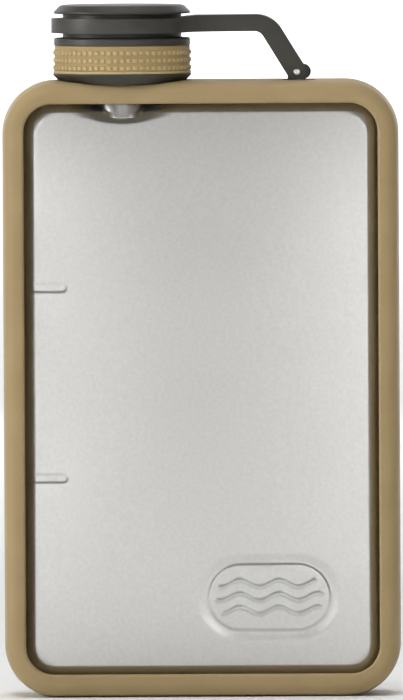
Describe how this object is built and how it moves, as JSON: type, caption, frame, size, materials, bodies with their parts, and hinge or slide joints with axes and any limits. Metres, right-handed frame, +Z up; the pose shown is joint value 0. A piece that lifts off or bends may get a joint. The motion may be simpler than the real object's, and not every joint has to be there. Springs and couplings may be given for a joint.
{
  "type": "hip flask",
  "caption": "Flat steel hip flask in a rubber bumper frame, with a screw cap held captive by a hinged tether arm.",
  "frame": {"origin": "bottom centre, on the surface the flask stands on", "axes": "+Z up, -Y out of the front face, +X to the right when the front face is seen; the cap is at -X"},
  "size_m": [0.0974, 0.0348, 0.1696],
  "materials": {
    "steel": "fine bead-blasted stainless steel, satin",
    "frame_rubber": "matte tan moulded rubber",
    "cap_plastic": "matte dark olive-grey moulded plastic",
    "grip_rubber": "matte tan rubber with moulded bumps",
    "pin_steel": "bright turned stainless steel",
    "seal_rubber": "translucent white silicone"
  },
  "bodies": {
    "flask": {"front_shell": "steel", "back_shell": "steel", "neck": "steel", "bumper_frame": "frame_rubber", "anchor_channel": "steel", "hinge_bracket": "cap_plastic"},
    "tether": {"tether_arm": "cap_plastic", "hinge_pin": "pin_steel"},
    "cap": {"cap_shell": "cap_plastic", "cap_top": "cap_plastic", "grip_band": "grip_rubber", "cap_gasket": "seal_rubber"}
  },
  "joints": [
    {"name": "tether_swing", "type": "hinge", "parent": "flask", "child": "tether", "pos_m": [0.0237, 0, 0.153], "axis": [0, 1, 0], "range_deg": [0, 110]},
    {"name": "cap_turn", "type": "hinge", "parent": "tether", "child": "cap", "pos_m": [-0.0191, 0, 0.1503], "axis": [0, 0, 1], "continuous": true}
  ]
}
